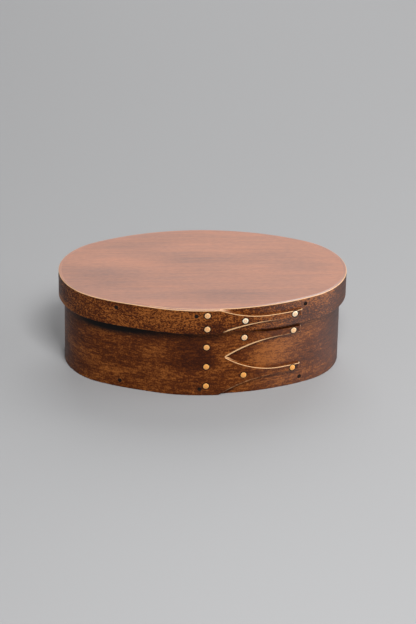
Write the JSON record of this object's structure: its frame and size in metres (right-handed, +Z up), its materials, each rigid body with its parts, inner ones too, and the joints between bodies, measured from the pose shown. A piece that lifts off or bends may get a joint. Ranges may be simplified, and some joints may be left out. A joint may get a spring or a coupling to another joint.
{
  "type": "oval bentwood box",
  "caption": "Oval bentwood box with a lift-off lid, lapped bands with swallowtail fingers, copper tacks and pegged boards.",
  "frame": {"origin": "centre of the bottom board's underside, where the box rests", "axes": "+X along the box's length, the way the fingers point; -Y towards the lap with the fingers, the front; +Z up, out through the lid"},
  "size_m": [0.152, 0.0972, 0.0516],
  "materials": {
    "band_wood": "maple stained dark red-brown, blotchy, oiled satin",
    "board_wood": "maple stained red-brown, oiled satin",
    "tack_copper": "bright copper, hammered",
    "peg_wood": "end grain, nearly black"
  },
  "bodies": {
    "box": {"box_band": "band_wood", "box_bottom": "board_wood", "box_row_tack_1": "tack_copper", "box_row_tack_2": "tack_copper", "box_row_tack_3": "tack_copper", "box_row_tack_4": "tack_copper", "box_finger_tack_1": "tack_copper", "box_finger_tack_2": "tack_copper", "box_finger_tack_3": "tack_copper", "box_finger_tack_4": "tack_copper", "bottom_peg_1": "peg_wood", "bottom_peg_2": "peg_wood", "bottom_peg_3": "peg_wood", "bottom_peg_4": "peg_wood", "bottom_peg_5": "peg_wood", "bottom_peg_6": "peg_wood", "bottom_peg_7": "peg_wood", "bottom_peg_8": "peg_wood"},
    "lid": {"lid_band": "band_wood", "lid_top": "board_wood", "lid_row_tack_1": "tack_copper", "lid_row_tack_2": "tack_copper", "lid_finger_tack_1": "tack_copper", "lid_finger_tack_2": "tack_copper", "lid_peg_1": "peg_wood", "lid_peg_2": "peg_wood", "lid_peg_3": "peg_wood", "lid_peg_4": "peg_wood", "lid_peg_5": "peg_wood", "lid_peg_6": "peg_wood", "lid_peg_7": "peg_wood", "lid_peg_8": "peg_wood"}
  },
  "joints": [
    {"name": "lid_lift", "type": "slide", "parent": "box", "child": "lid", "axis": [0, 0, 1], "range_m": [0, 0.06]}
  ]
}
